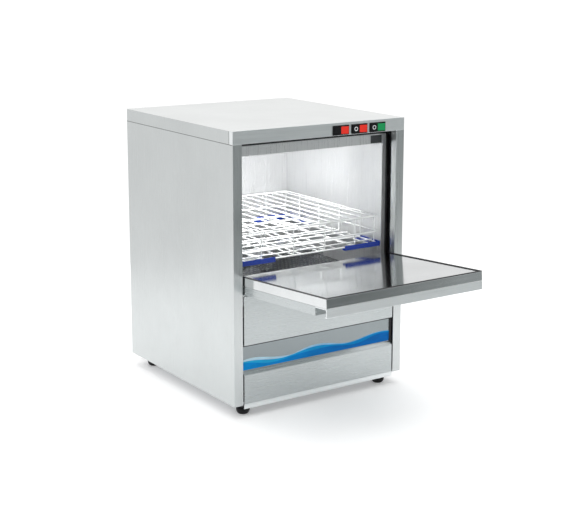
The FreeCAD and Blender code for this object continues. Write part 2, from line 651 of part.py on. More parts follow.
def spindles():
    """Fixed spindles below and above, and the spacers and caps that hold the arms on."""
    lower = join("lower_spindle", [
        rod("lower_flange", "30", "6", ("0", "arm_y", "tub_bottom + skin")),
        rod("lower_post", "spindle_radius", "lower_rinse + 17 - tub_bottom - skin",
            ("0", "arm_y", "tub_bottom + skin")),
        rod("lower_collar", "collar_radius", "16", ("0", "arm_y", "lower_wash - hub_rise - 17"))])
    upper = join("upper_spindle", [
        rod("upper_flange", "30", "6", ("0", "arm_y", "tub_top - skin - 6")),
        rod("upper_post", "spindle_radius", "tub_top - skin - upper_rinse + 9",
            ("0", "arm_y", "upper_rinse - 9")),
        rod("upper_collar", "collar_radius", "14",
            ("0", "arm_y", "upper_wash + wash_height + hub_rise + 1"))])
    keep(group("arm_spindles", [lower, upper]), "arm_spindles")
    rings = []
    for name, start, length in (
            ("lower_spacer", "lower_wash + wash_height + hub_rise + 0.4", "4"),
            ("lower_cap", "lower_rinse + rinse_height + hub_rise + 0.4", "6"),
            ("upper_spacer", "upper_rinse + rinse_height + hub_rise + 0.4", "4"),
            ("upper_cap", "upper_rinse - hub_rise - 6.4", "6")):
        ring = rod(name + "_disc", "collar_radius", length, ("0", "arm_y", start))
        bore = rod(name + "_bore", "spindle_radius", "10", ("0", "arm_y", start + " - 2"))
        rings.append(cut(name, ring, [bore]))
    keep(group("arm_caps", rings), "arm_caps")


def wash_pump():
    """Volute with its impeller and shaft, and the motor behind it along +X."""
    axis = ("arm_y", "pump_height")
    start = "-volute_width / 2"
    case = rod("volute_case", "volute_radius", "volute_width", (start, *axis), "x")
    stub = rod("volute_stub", "pipe_radius", "volute_radius + 15", ("0", *axis))
    room = rod("volute_room", "volute_radius - volute_wall", "volute_width - 2 * volute_wall",
               (start + " + volute_wall", *axis), "x")
    eye = rod("volute_eye", "pipe_radius - pipe_wall", "volute_wall + 4",
              (start + " - 2", *axis), "x")
    way = rod("volute_way", "pipe_radius - pipe_wall", "volute_radius + 20", ("0", *axis))
    shaft_bore = rod("volute_bore", "shaft_radius + pin_play", "volute_wall + 4",
                     ("volute_width / 2 - volute_wall - 2", *axis), "x")
    keep(cut("wash_pump_housing", join("volute_solid", [case, stub]), [room, eye, way, shaft_bore]),
         "wash_pump_housing")
    disc = rod("impeller_disc", "impeller_radius", "6", ("2", *axis), "x")
    shaft = rod("impeller_shaft", "shaft_radius", "70", ("2", *axis), "x")
    vanes = [box("vane_" + way_name, size, at) for way_name, size, at in (
        ("upright", ("impeller_width", "4", "2 * impeller_radius - 12"),
         ("-impeller_width + 4", "arm_y - 2", "pump_height - impeller_radius + 6")),
        ("level", ("impeller_width", "2 * impeller_radius - 12", "4"),
         ("-impeller_width + 4", "arm_y - impeller_radius + 6", "pump_height - 2")))]
    keep(join("pump_impeller", [disc, shaft] + vanes), "pump_impeller")
    near = "volute_width / 2 + motor_gap"
    frame = rod("motor_frame", "motor_radius", "motor_length", (near, *axis), "x")
    foot = box("motor_foot", ("motor_length - 40", "70", "pump_height - base_height - base_skin - 20"),
               (near + " + 20", "arm_y - 35", "base_height + base_skin"))
    bore = rod("motor_bore", "shaft_radius + pin_play", "48", (near + " - 1", *axis), "x")
    keep(cut("wash_pump_motor", join("motor_solid", [frame, foot]), [bore]), "wash_pump_motor")


def wash_pipes():
    """Riser, suction, the feed up the back to the upper spindle, and the thin rinse pipe."""
    low = "pump_height + volute_radius + 15"
    riser = pipe("riser", "pipe_radius", "pipe_wall", [
        (("0", "arm_y", low), None, "z", "tub_bottom - pump_height - volute_radius - 15")])
    suction = pipe("suction", "pipe_radius", "pipe_wall", [
        (("-suction_x", "arm_y", "pump_height"), ("-suction_x", "arm_y", "pump_height"),
         "z", "tub_bottom - pump_height"),
        (("-suction_x", "arm_y", "pump_height"), None, "x", "suction_x - volute_width / 2")])
    feed = pipe("feed", "feed_radius", "pipe_wall", [
        (("0", "arm_y + pipe_radius", "feed_height"), ("0", "feed_back", "feed_height"),
         "y", "feed_back - arm_y - pipe_radius"),
        (("0", "feed_back", "feed_height"), ("0", "feed_back", "feed_top"),
         "z", "feed_top - feed_height"),
        (("0", "arm_y", "feed_top"), ("0", "arm_y", "feed_top"), "y", "feed_back - arm_y"),
        (("0", "arm_y", "tub_top"), None, "z", "feed_top - tub_top")])
    rinse = pipe("rinse", "5", "1", [
        (("-boiler_x", "boiler_y", "boiler_high"), ("-boiler_x", "boiler_y", "boiler_high + 12"),
         "z", "12"),
        (("-boiler_x", "arm_y", "boiler_high + 12"), ("-boiler_x", "arm_y", "boiler_high + 12"),
         "y", "boiler_y - arm_y"),
        (("-boiler_x", "arm_y", "boiler_high + 12"), None, "x",
         "boiler_x - suction_x - pipe_radius")])
    keep(group("wash_pipes", [riser, suction, feed, rinse]), "wash_pipes")


def drain():
    """Waste pipe from the tub floor to the spigot at the back, and the lift-out overflow."""
    waste = pipe("waste_pipe", "(drain_radius - 1)", "2", [
        (("drain_x", "drain_y", "drain_height"), ("drain_x", "drain_y", "drain_height"),
         "z", "tub_bottom - drain_height"),
        (("drain_x", "drain_y", "drain_height"), None, "y",
         "cab_depth + rear_reach - drain_y")])
    spigot = rod("spigot", "drain_radius", "rear_reach + spigot_in",
                 ("drain_x", "cab_depth - spigot_in", "drain_height"), "y")
    way = rod("spigot_way", "drain_radius - 2", "rear_reach + spigot_in + 10",
              ("drain_x", "cab_depth - spigot_in - 5", "drain_height"), "y")
    keep(join("drain_pipe", [waste, cut("spigot_sleeve", spigot, [way])]), "drain_pipe")
    tube = rod("overflow_tube", "overflow_radius", "overflow_top - overflow_low",
               ("drain_x", "drain_y", "overflow_low"))
    bore = rod("overflow_bore", "overflow_radius - 2", "overflow_top - overflow_low + 10",
               ("drain_x", "drain_y", "overflow_low - 5"))
    keep(cut("overflow_pipe", tube, [bore]), "overflow_pipe")


# ---- services ----------------------------------------------------------------------------

def boiler():
    """Rinse-water boiler with its element flange, and the tank element on the tub floor."""
    shell = rod("boiler_shell", "boiler_radius", "boiler_high - boiler_low",
                ("-boiler_x", "boiler_y", "boiler_low"))
    room = rod("boiler_room", "boiler_radius - boiler_wall",
               "boiler_high - boiler_low - 2 * boiler_wall",
               ("-boiler_x", "boiler_y", "boiler_low + boiler_wall"))
    hole = rod("boiler_flange_hole", "20", "10", ("-boiler_x", "boiler_y", "boiler_low - 5"))
    outlet = rod("boiler_outlet_hole", "4", "10", ("-boiler_x", "boiler_y", "boiler_high - 5"))
    keep(cut("boiler_tank", shell, [room, hole, outlet]), "boiler_tank")
    flange = rod("boiler_flange", "30", "6", ("-boiler_x", "boiler_y", "boiler_low - 6"))
    legs = [rod("boiler_leg_" + side, "element_radius", "element_tall",
                ("-boiler_x + %s * element_half" % sign, "boiler_y", "boiler_low - 2"))
            for side, sign in SIDES.items()]
    bend = rod("boiler_bend", "element_radius", "2 * element_half",
               ("-boiler_x - element_half", "boiler_y", "boiler_low + element_tall - 2"), "x")
    rods = [rod("tank_leg_" + side, "element_radius", "tank_element_deep",
                ("%s * tank_element_half" % sign, "tank_element_y", "tub_bottom + 20"), "y")
            for side, sign in SIDES.items()]
    cross = rod("tank_cross", "element_radius", "2 * tank_element_half",
                ("-tank_element_half", "tank_element_y", "tub_bottom + 20"), "x")
    keep(group("heating_elements", [join("boiler_element", [flange, bend] + legs),
                                    join("tank_element", [cross] + rods)]), "heating_elements")


def water_inlet():
    """Solenoid valve inside the back, with its threaded inlet through the rear panel."""
    block = box("valve_block", ("valve_width", "valve_tall", "valve_tall"),
                ("-inlet_x - valve_width / 2", "cab_depth - valve_in",
                 "inlet_height - valve_tall / 2"))
    coil = rod("valve_coil", "valve_coil_radius", "valve_coil_tall",
               ("-inlet_x", "cab_depth - valve_in + valve_tall / 2", "inlet_height + valve_tall / 2"))
    thread = rod("valve_thread", "inlet_radius", "inlet_reach + valve_in - valve_tall + 2",
                 ("-inlet_x", "cab_depth - valve_in + valve_tall - 2", "inlet_height"), "y")
    bore = rod("valve_bore", "inlet_bore", "inlet_reach + 20",
               ("-inlet_x", "cab_depth - 10", "inlet_height"), "y")
    keep(cut("inlet_valve", join("valve_solid", [block, coil, thread]), [bore]), "inlet_valve")


def electrics():
    """Control box with its contactor, timer and terminals, and the rinse-aid doser."""
    case = box("control_case", ("box_width", "box_deep", "box_tall"), ("box_x", "box_y", "box_low"))
    room = box("control_room", ("box_width - 2 * box_wall", "box_deep", "box_tall - 2 * box_wall"),
               ("box_x + box_wall", "box_y + box_wall", "box_low + box_wall"))
    keep(cut("control_box", case, [room]), "control_box")
    inner = ("box_x + 10", "box_y + 8", "box_low + 10")
    parts = [box("contactor", ("45", "55", "60"), inner),
             box("timer", ("50", "40", "70"), ("box_x + 70",) + inner[1:]),
             box("terminals", ("110", "20", "20"), inner[:2] + ("box_low + 105",))]
    keep(group("control_components", parts), "control_components")
    keep(box("rinse_aid_doser", ("doser_width", "doser_deep", "doser_tall"),
             ("-doser_x", "doser_y", "box_low")), "rinse_aid_doser")


def cable_gland():
    """Gland nut on the rear panel, bored for the mains cable."""
    body = rod("gland_body", "cable_hole", "20", ("gland_x", "cab_depth - 10", "inlet_height"), "y")
    nut = rod("gland_nut", "gland_radius", "gland_reach",
              ("gland_x", "cab_depth", "inlet_height"), "y")
    bore = rod("gland_way", "gland_bore", "60", ("gland_x", "cab_depth - 20", "inlet_height"), "y")
    keep(cut("cable_gland", join("gland_solid", [body, nut]), [bore]), "cable_gland")


def switch_x(number):
    return "(switch_first + %d * switch_pitch)" % number


def switch_housing(name, number):
    """Bezel and case of one switch, open at the front, bored for the rocker's trunnions."""
    x = switch_x(number)
    bezel = box(name + "_bezel", ("bezel_width", "bezel_rise", "bezel_tall"),
                (x + " - bezel_width / 2", "-bezel_rise", "switch_height - bezel_tall / 2"))
    case = box(name + "_case", ("case_width", "case_deep", "case_tall"),
               (x + " - case_width / 2", "0", "switch_height - case_tall / 2"))
    room = box(name + "_room", ("case_width - 2 * case_wall", "case_deep + bezel_rise - case_wall",
                                "case_tall - 2 * case_wall"),
               (x + " - case_width / 2 + case_wall", "-bezel_rise",
                "switch_height - case_tall / 2 + case_wall"))
    bores = rod(name + "_bores", "trunnion + trunnion_play", "case_tall + 4",
                (x, "rocker_pivot", "switch_height - case_tall / 2 - 2"))
    label = "switch_housing_" + name
    keep(cut(label, join(name + "_solid", [bezel, case]), [room, bores]), label)


def switch_rocker(name, number):
    """Rocker with its left half pressed in and its right half proud, on two trunnions."""
    corners = [("-rocker_half", "-rocker_flush"), ("0", "-rocker_flush"),
               ("rocker_half", "-rocker_proud"), ("rocker_half - 1", "rocker_pivot - 2"),
               ("5", "rocker_pivot + 5"), ("-5", "rocker_pivot + 5"),
               ("-rocker_half + 1", "rocker_pivot + 1")]
    cap = pad(name + "_cap", "XY_Plane", corners, "rocker_tall",
              (switch_x(number), "0", "switch_height - rocker_tall / 2"))
    axle = rod(name + "_axle", "trunnion", "case_tall",
               (switch_x(number), "rocker_pivot", "switch_height - case_tall / 2"))
    keep(join("rocker_" + name, [cap, axle]), "rocker_" + name)


# ---- assembly ----------------------------------------------------------------------------

def build():
    write_sheet()
    for side, sign in SIDES.items():
        side_panel(side, sign)
        tub_side(side, sign)
    rear_panel()
    top_cover()
    panel_screws()
    control_fascia()
    front_panels()
    base_and_feet()
    tub_sheets()
    opening_seal()
    rack_rails()
    surface_filters()
    door_shells()
    door_handle()
    door_seal()
    hinge_hardware()
    rack_frame()
    rack_wires()
    rack_runners()
    spray_arm("lower_wash_arm", "wash", "lower_wash", 35, True)
    spray_arm("lower_rinse_arm", "rinse", "lower_rinse", -50, True)
    spray_arm("upper_wash_arm", "wash", "upper_wash", 20, False)
    spray_arm("upper_rinse_arm", "rinse", "upper_rinse", -25, False)
    spindles()
    wash_pump()
    wash_pipes()
    drain()
    boiler()
    water_inlet()
    electrics()
    cable_gland()
    for number, name in enumerate(SWITCHES):
        switch_housing(name, number)
        switch_rocker(name, number)
    doc.recompute()


def check():
    """Stop if anything in the document failed, or if a sub-part has no good solid."""
    for item in doc.Objects:
        if "Invalid" in item.State or "Error" in item.State:
            raise RuntimeError("%s did not recompute: %s" % (item.Label, item.State))
    for item in nodes:
        if item.Shape.isNull() or not item.Shape.isValid() or not item.Shape.Solids:
            raise RuntimeError("%s has no valid solid" % item.Label)
        if item.Shape.Volume <= 0:
            raise RuntimeError("%s has no volume" % item.Label)


def export():
    os.makedirs("parts", exist_ok=True)
    for item in nodes:
        item.Shape.exportStep("parts/%s.step" % item.Label)
    print("%d sub-parts, %d solids" % (len(nodes), sum(len(item.Shape.Solids) for item in nodes)))


build()
check()
export()
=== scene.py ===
import json
import math

import bmesh
import bpy
from mathutils import Matrix, Vector


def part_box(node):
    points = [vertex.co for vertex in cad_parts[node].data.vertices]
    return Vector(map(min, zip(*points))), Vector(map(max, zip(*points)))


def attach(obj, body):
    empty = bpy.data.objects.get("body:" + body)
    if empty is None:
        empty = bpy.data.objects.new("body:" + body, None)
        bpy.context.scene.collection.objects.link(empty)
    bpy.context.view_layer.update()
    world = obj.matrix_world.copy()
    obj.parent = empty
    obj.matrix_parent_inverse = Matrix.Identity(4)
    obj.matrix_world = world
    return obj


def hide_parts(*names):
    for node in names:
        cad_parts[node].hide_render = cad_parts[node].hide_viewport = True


# Commercial under-counter dishwasher with its door open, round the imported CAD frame.
# Lengths are in metres, and the grain and noise scales are counts per metre.

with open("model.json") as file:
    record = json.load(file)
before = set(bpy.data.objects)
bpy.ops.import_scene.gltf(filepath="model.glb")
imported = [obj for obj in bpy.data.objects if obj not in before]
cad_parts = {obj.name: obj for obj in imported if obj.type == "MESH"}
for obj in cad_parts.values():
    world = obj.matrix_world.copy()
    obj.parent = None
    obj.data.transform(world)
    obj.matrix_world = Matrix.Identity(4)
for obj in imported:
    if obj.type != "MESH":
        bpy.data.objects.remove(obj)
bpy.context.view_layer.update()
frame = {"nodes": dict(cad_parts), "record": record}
NODES = frame["nodes"]
SLOTS = {row["node"]: row["material_slot"] for row in frame["record"]["subparts"]}
SWITCHES = ("power", "cycle", "start")
MM = 0.001

FLOOR_RADIUS = 1.75
DARK_SIDE = (0.38, -0.924, -0.02)
ROOM_TONES = [(0.0, (1.0, 1.0, 1.0)), (0.45, (0.95, 0.96, 0.97)), (0.80, (0.88, 0.9, 0.9)),
              (0.93, (0.46, 0.49, 0.49)), (0.965, (0.2, 0.22, 0.22)), (0.995, (0.1, 0.115, 0.115))]
CAMERA_PLACE = (-2.08536, -3.06982, 1.28450)
CAMERA_TURN = (-35.99, -11.30, 0.48)
CAMERA_LENS = 79.83
CAMERA_SHIFT = (-0.0782, -0.0823)

# The steel finishes for the front panels, fascia, handle, sides and lid are lit and shaded copies
# of one steel: painted light and painted shade.
FINISHES = {"left_side_panel": "side_steel_painted_shade", "right_side_panel": "side_steel_painted_shade",
            "top_cover": "lid_steel_painted_light", "control_fascia": "fascia_steel_painted_light",
            "door_handle": "fascia_steel_painted_light", "arm_spindles": "arm_steel", "arm_caps": "arm_steel",
            "door_sensor": "sensor_grey"}
SLOT_FINISHES = {"cabinet_steel": "front_steel_painted_shade", "decor_print": "strip_steel_painted_shade",
                 "red_rocker": "black_plastic", "green_rocker": "black_plastic"}
BEVELS = {"cabinet_steel": 0.6 * MM, "tub_steel": 0.4 * MM, "polished_steel": 1.1 * MM,
          "blue_plastic": 0.9 * MM, "black_plastic": 0.6 * MM, "zinc_steel": 0.5 * MM,
          "grey_plastic": 0.8 * MM, "motor_casting": 1 * MM, "red_rocker": 0.6 * MM,
          "green_rocker": 0.6 * MM, "valve_brass": 0.5 * MM, "decor_print": 0.3 * MM}
FINE_HOLES = ("rear_panel",)

RIM, WIRE = 2.5 * MM, 2 * MM
STEEL_SKIN = 1.2 * MM
MATERIALS = {}


# ---- materials ---------------------------------------------------------------------------

def link(tree, source, out, target, into):
    tree.links.new(source.outputs[out], target.inputs[into])


def noise(tree, stretch, detail=3.0, roughness=0.6):
    """Noise in object space, stretched by a scale in each direction."""
    place = tree.nodes.new("ShaderNodeTexCoord")
    mapping = tree.nodes.new("ShaderNodeMapping")
    mapping.inputs["Scale"].default_value = stretch
    texture = tree.nodes.new("ShaderNodeTexNoise")
    texture.inputs["Scale"].default_value = 1.0
    texture.inputs["Detail"].default_value = detail
    texture.inputs["Roughness"].default_value = roughness
    link(tree, place, "Object", mapping, "Vector")
    link(tree, mapping, "Vector", texture, "Vector")
    return texture


def spread(tree, texture, low, high, start=0.3, end=0.7, out="Fac"):
    """Map a texture's range from start to end onto low to high."""
    node = tree.nodes.new("ShaderNodeMapRange")
    node.inputs["From Min"].default_value = start
    node.inputs["From Max"].default_value = end
    node.inputs["To Min"].default_value = low
    node.inputs["To Max"].default_value = high
    link(tree, texture, out, node, "Value")
    return node


def ramp(tree, source, stops, out="Fac"):
    """Colour ramp with a colour at each position in stops."""
    node = tree.nodes.new("ShaderNodeValToRGB")
    first, last = node.color_ramp.elements
    first.position, first.color = stops[0][0], (*stops[0][1], 1)
    last.position, last.color = stops[-1][0], (*stops[-1][1], 1)
    for position, colour in stops[1:-1]:
        node.color_ramp.elements.new(position).color = (*colour, 1)
    link(tree, source, out, node, "Fac")
    return node


def multiplied(tree, first, second, shader):
    """Give a shader the product of two ramps as its base colour."""
    node = tree.nodes.new("ShaderNodeMix")
    node.data_type = "RGBA"
    node.blend_type = "MULTIPLY"
    node.inputs[0].default_value = 1.0
    link(tree, first, "Color", node, 6)
    link(tree, second, "Color", node, 7)
    link(tree, node, 2, shader, "Base Color")


def bumped(tree, shader, texture, strength, distance):
    bump = tree.nodes.new("ShaderNodeBump")
    bump.inputs["Strength"].default_value = strength
    bump.inputs["Distance"].default_value = distance
    link(tree, texture, "Fac", bump, "Height")
    link(tree, bump, "Normal", shader, "Normal")


def blank(name, metallic, **fixed):
    """Make and list a material whose shader has these constants, such as Coat_Weight."""
    made = bpy.data.materials.new(name)
    MATERIALS[name] = made
    made.use_nodes = True
    tree = made.node_tree
    shader = tree.nodes["Principled BSDF"]
    shader.inputs["Metallic"].default_value = metallic
    for word, value in fixed.items():
        shader.inputs[word.replace("_", " ")].default_value = value
    return tree, shader


def shade(colour, by):
    return tuple(min(1.0, part * by) for part in colour)


def even(value):
    return (value,) * 3


def brushed(name, colour, rough, grain, strength=0.1, metallic=1.0, vary=0.06, smear=0.05):
    """Sheet steel: long fine grain that varies its tone and gloss, with faint smudges that change
    its tone.
    """
    smudges, grain_depth = 5, 0.2 * MM
    tree, shader = blank(name, metallic)
    lines = noise(tree, grain, detail=5.0, roughness=0.7)
    tone = ramp(tree, lines, [(0.25, shade(colour, 1 - vary)), (0.75, shade(colour, 1 + vary))])
    cloud = noise(tree, even(smudges))
    haze = ramp(tree, cloud, [(0.35, even(1 - smear)), (0.7, even(1))])
    multiplied(tree, tone, haze, shader)
    gloss = spread(tree, lines, rough - 0.05, rough + 0.07)
    link(tree, gloss, "Result", shader, "Roughness")
    bumped(tree, shader, lines, strength, grain_depth)


def plain(name, colour, rough, texture_scale, strength=0.15, metallic=0.0, vary=0.12, **fixed):
    """Moulded, coated or cast surface with a fine all-over texture."""
    blotches, texture_depth = 9, 0.1 * MM
    tree, shader = blank(name, metallic, **fixed)
    fine = noise(tree, even(texture_scale))
    broad = noise(tree, even(blotches))
    tone = ramp(tree, broad, [(0.3, shade(colour, 1 - vary)), (0.7, shade(colour, 1 + vary / 2))])
    link(tree, tone, "Color", shader, "Base Color")
    gloss = spread(tree, fine, max(0.02, rough - 0.05), rough + 0.06)
    link(tree, gloss, "Result", shader, "Roughness")
    bumped(tree, shader, fine, strength, texture_depth)


def lens(name, colour, glow):
    """Translucent switch lens, with a faint glow of its own colour."""
    plain(name, colour, 0.16, 1400, 0.05, vary=0.1, Coat_Weight=0.6, Coat_Roughness=0.06,
          Emission_Color=(*colour, 1), Emission_Strength=glow)


def printed(name, left, right):
    """Printed film whose colour runs from one tone at its left end to another at its right."""
    half_strip = 262 * MM
    tree, shader = blank(name, 0.0, Specular_IOR_Level=0.08, Roughness=0.3)
    place = tree.nodes.new("ShaderNodeTexCoord")
    apart = tree.nodes.new("ShaderNodeSeparateXYZ")
    link(tree, place, "Object", apart, "Vector")
    along = spread(tree, apart, 0.0, 1.0, -half_strip, half_strip, out="X")
    tone = ramp(tree, along, [(0.05, left), (0.75, right)], out="Result")
    drift = noise(tree, (14, 14, 60))
    shadow = ramp(tree, drift, [(0.35, even(0.78)), (0.65, even(1))])
    multiplied(tree, tone, shadow, shader)


# One brushed steel in lit and shaded copies, painted light and painted shade: darker for the front
# panels, lighter for the fascia, handle and lid top, between for the sides.
LEVEL, UPRIGHT, BACKWARD = (5, 5, 900), (900, 900, 5), (5, 900, 900)
brushed("front_steel_painted_shade", (0.50, 0.53, 0.535), 0.27, LEVEL)
brushed("fascia_steel_painted_light", (0.84, 0.87, 0.875), 0.36, LEVEL)
# The decor strip's backing is a dark copy of the steel: painted shade of its recess.
brushed("strip_steel_painted_shade", (0.27, 0.30, 0.31), 0.2, LEVEL)
brushed("side_steel_painted_shade", (0.61, 0.635, 0.635), 0.3, UPRIGHT, 0.05, vary=0.03)
brushed("lid_steel_painted_light", (0.80, 0.815, 0.81), 0.33, BACKWARD, 0.06)
brushed("tub_steel", (0.88, 0.885, 0.89), 0.3, UPRIGHT, 0.05, metallic=0.85)
brushed("filter_steel", (0.2, 0.21, 0.22), 0.35, even(300))
brushed("arm_steel", (0.74, 0.75, 0.76), 0.25, even(250), 0.05)
brushed("polished_steel", (0.66, 0.675, 0.68), 0.10, (3, 700, 700), 0.04, smear=0.12)
brushed("zinc_steel", (0.56, 0.58, 0.6), 0.36, even(160), 0.2, vary=0.15)
brushed("valve_brass", (0.72, 0.55, 0.26), 0.3, even(300), 0.15)
plain("seal_rubber", (0.016, 0.016, 0.018), 0.55, 1500, 0.4, vary=0.3)
plain("seam_shade", (0.1, 0.105, 0.105), 0.6, 1500, 0.2)
plain("black_plastic", (0.008, 0.008, 0.009), 0.3, 2200, 0.3, vary=0.2,
      Specular_IOR_Level=0.22)
plain("sensor_grey", (0.045, 0.05, 0.052), 0.3, 1500, vary=0.3)
plain("white_wire", (0.86, 0.875, 0.87), 0.22, 420, 0.12, vary=0.05,
      Coat_Weight=0.4, Coat_Roughness=0.12)
plain("blue_plastic", (0.012, 0.045, 0.36), 0.24, 900, 0.12, vary=0.15,
      Coat_Weight=0.3, Coat_Roughness=0.15)
plain("grey_plastic", (0.3, 0.31, 0.33), 0.45, 1200, 0.25)
plain("motor_casting", (0.2, 0.22, 0.25), 0.5, 500, 0.5, metallic=0.3)
plain("mark_print", (0.85, 0.86, 0.86), 0.4, 1500, 0.1)
lens("red_lens", (0.72, 0.03, 0.018), 0.12)
lens("green_lens", (0.012, 0.29, 0.09), 0.06)
printed("wave_deep", (0.0, 0.26, 0.68), (0.0, 0.15, 0.52))
printed("wave_mid", (0.02, 0.40, 0.72), (0.0, 0.26, 0.64))
printed("wave_crest", (0.55, 0.76, 0.86), (0.2, 0.5, 0.78))


def finish_of(node):
    """The material that a carried-over CAD node gets: its own, or its slot's."""
    if node.endswith("_arm"):
        return "arm_steel"
    slot = SLOTS[node]
    return FINISHES.get(node, SLOT_FINISHES.get(slot, slot))


def soften(item, width):
    """Round the sharp edges of a piece a little, so that they catch the light."""
    weld = item.modifiers.new("weld", "WELD")
    weld.merge_threshold = 0.01 * MM
    bevel = item.modifiers.new("edges", "BEVEL")
    bevel.width = width
    bevel.segments = 2
    bevel.limit_method = "ANGLE"
    bevel.angle_limit = math.radians(40)
    bevel.use_clamp_overlap = True


def dress_nodes():
    for name, item in NODES.items():
        item.data.materials.clear()
        item.data.materials.append(MATERIALS[finish_of(name)])
        if SLOTS[name] in BEVELS and name not in FINE_HOLES:
            soften(item, BEVELS[SLOTS[name]])


# ---- tools for new pieces ----------------------------------------------------------------

def settle(item, made, body):
    """Give a new piece its material, in a new material slot, and its body."""
    item.data.materials.append(MATERIALS[made])
    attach(item, body)
    return item


def linked(name, data):
    item = bpy.data.objects.new(name, data)
    bpy.context.scene.collection.objects.link(item)
    return item


def smoothed(data, angle):
    """Shade a mesh smooth, apart from its edges sharper than an angle in degrees."""
    for face in data.polygons:
        face.use_smooth = True
    data.set_sharp_from_angle(angle=math.radians(angle))


def from_bmesh(name, mesh, smooth=None):
    data = bpy.data.meshes.new(name)
    bmesh.ops.recalc_face_normals(mesh, faces=mesh.faces)
    mesh.to_mesh(data)
    mesh.free()
    if smooth is not None:
        smoothed(data, smooth)
    return linked(name, data)


def thickened(item):
    """Give a surface the cabinet's sheet thickness, inward from its faces."""
    sheet = item.modifiers.new("sheet", "SOLIDIFY")
    sheet.thickness = STEEL_SKIN
    sheet.offset = -1


def prism(mesh, outline, direction):
    """Add a closed block to a bmesh: an outline of points swept along a direction."""
    low = [mesh.verts.new(point) for point in outline]
    face = mesh.faces.new(low)
    swept = bmesh.ops.extrude_face_region(mesh, geom=[face])
    moved = [v for v in swept["geom"] if isinstance(v, bmesh.types.BMVert)]
    bmesh.ops.translate(mesh, verts=moved, vec=direction)


def band(mesh, low, high):
    """Add the faces between two rings of the same number of points."""
    count = len(low)
    for step in range(count):
        after = (step + 1) % count
        mesh.faces.new((low[step], low[after], high[after], high[step]))


def turned(mesh, profile, centre, count=40, backward=False):
    """Add a solid of revolution: (radius, distance) along the upright axis, or along +Y."""
    rows = []
    for radius, along in profile:
        row = []
        for turn in (2 * math.pi * step / count for step in range(count)):
            across, up = radius * math.cos(turn), radius * math.sin(turn)
            point = (across, along, up) if backward else (across, up, along)
            row.append(mesh.verts.new(Vector(centre) + Vector(point)))
        rows.append(row)
    for low, high in zip(rows, rows[1:]):
        band(mesh, low, high)
    mesh.faces.new(rows[0])
    mesh.faces.new(rows[-1])


def rounded(corners, radius, closed=False, steps=5):
    """Points of a bent wire: straight runs with an arc at each corner."""
    count = len(corners)
    points = []
    for number, corner in enumerate(corners):
        corner = Vector(corner)
        if not closed and number in (0, count - 1):
            points.append(corner)
            continue
        before = (Vector(corners[number - 1]) - corner).normalized()
        after = (Vector(corners[(number + 1) % count]) - corner).normalized()
        half = before.angle(after) / 2
        reach = radius / math.tan(half)
        middle = corner + (before + after).normalized() * (radius / math.sin(half))
        start = corner + before * reach - middle
        sweep = math.pi - 2 * half
        axis = start.cross(corner + after * reach - middle).normalized()
        for step in range(steps + 1):
            points.append(middle + Matrix.Rotation(sweep * step / steps, 3, axis) @ start)
    return points


def wires(name, routes, replaced):
    """One mesh of the rack's round wires: each route is points, a radius and if it closes."""
    curve = bpy.data.curves.new(name, "CURVE")
    curve.dimensions = "3D"
    curve.bevel_depth = 1.0
    curve.bevel_resolution = 3
    curve.use_fill_caps = True
    for points, radius, closed in routes:
        spline = curve.splines.new("POLY")
        spline.points.add(len(points) - 1)
        for target, point in zip(spline.points, points):
            target.co = (*point, 1)
            target.radius = radius
        spline.use_cyclic_u = closed
    drawn = bpy.data.objects.new(name + "_line", curve)
    data = bpy.data.meshes.new_from_object(drawn)
    bpy.data.objects.remove(drawn)
    smoothed(data, 60)
    item = settle(linked(name, data), "white_wire", "rack")
    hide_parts(replaced)


def centre_of(node):
    lo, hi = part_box(node)
    return (lo + hi) / 2


# ---- rack --------------------------------------------------------------------------------

def rack():
    """Rims with rounded corners, wires bent up from the floor to the rim, and plate rails."""
    lo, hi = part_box("rack_frame")
    middle = (lo.y + hi.y) / 2
    top = hi.z - RIM
    floor = lo.z + 2 * RIM - WIRE
    crossing = floor + 2 * WIRE
    inset = 2 * RIM + WIRE
    front, back = lo.y + inset, hi.y - inset
    left, right = lo.x + inset, hi.x - inset

    middle_rim, rim_bend, fold = 467 * MM, 18 * MM, 7 * MM
    routes = []
    for height in (lo.z + RIM, middle_rim, top):
        ring = [(lo.x + RIM, lo.y + RIM, height), (hi.x - RIM, lo.y + RIM, height),
                (hi.x - RIM, hi.y - RIM, height), (lo.x + RIM, hi.y - RIM, height)]
        routes.append((rounded(ring, rim_bend, True), RIM, True))
    upright_pitch = 110 * MM
    for step in (-1.5, -0.5, 0.5, 1.5):
        x = step * upright_pitch
        y = middle + x
        across = [(x, front, top), (x, front, floor), (x, back, floor), (x, back, top)]
        along = [(left, y, top), (left, y, crossing), (right, y, crossing), (right, y, top)]
        routes += [(rounded(bent, fold), WIRE, False) for bent in (across, along)]
    corner = 4 * MM
    for x in (left + corner, right - corner):
        for y in (front + corner, back - corner):
            routes.append(([(x, y, lo.z + WIRE), (x, y, top)], WIRE, False))
    wires("rack_bent_frame", routes, "rack_frame")

    grid_pitch, grid_count = 62 * MM, 8
    routes = []
    for step in range(grid_count):
        shift = (step - (grid_count - 1) / 2) * grid_pitch
        run = [(shift, lo.y + 2 * RIM, floor), (shift, hi.y - 2 * RIM, floor)]
        cross = [(lo.x + RIM, middle + shift, crossing), (hi.x - RIM, middle + shift, crossing)]
        routes += [(run, WIRE, False), (cross, WIRE, False)]
    wires("rack_grid_wires", routes, "rack_floor_grid")

    plate_pitch, plate_hook, plate_fold = 38 * MM, 13 * MM, 6 * MM
    routes = []
    for step in range(-6, 7):
        x = step * plate_pitch
        run = [(x, front, top - plate_hook), (x, front, top), (x, back, top),
               (x, back, top - plate_hook)]
        routes.append((rounded(run, plate_fold), WIRE, False))
    wires("rack_plate_wires", routes, "rack_plate_rails")


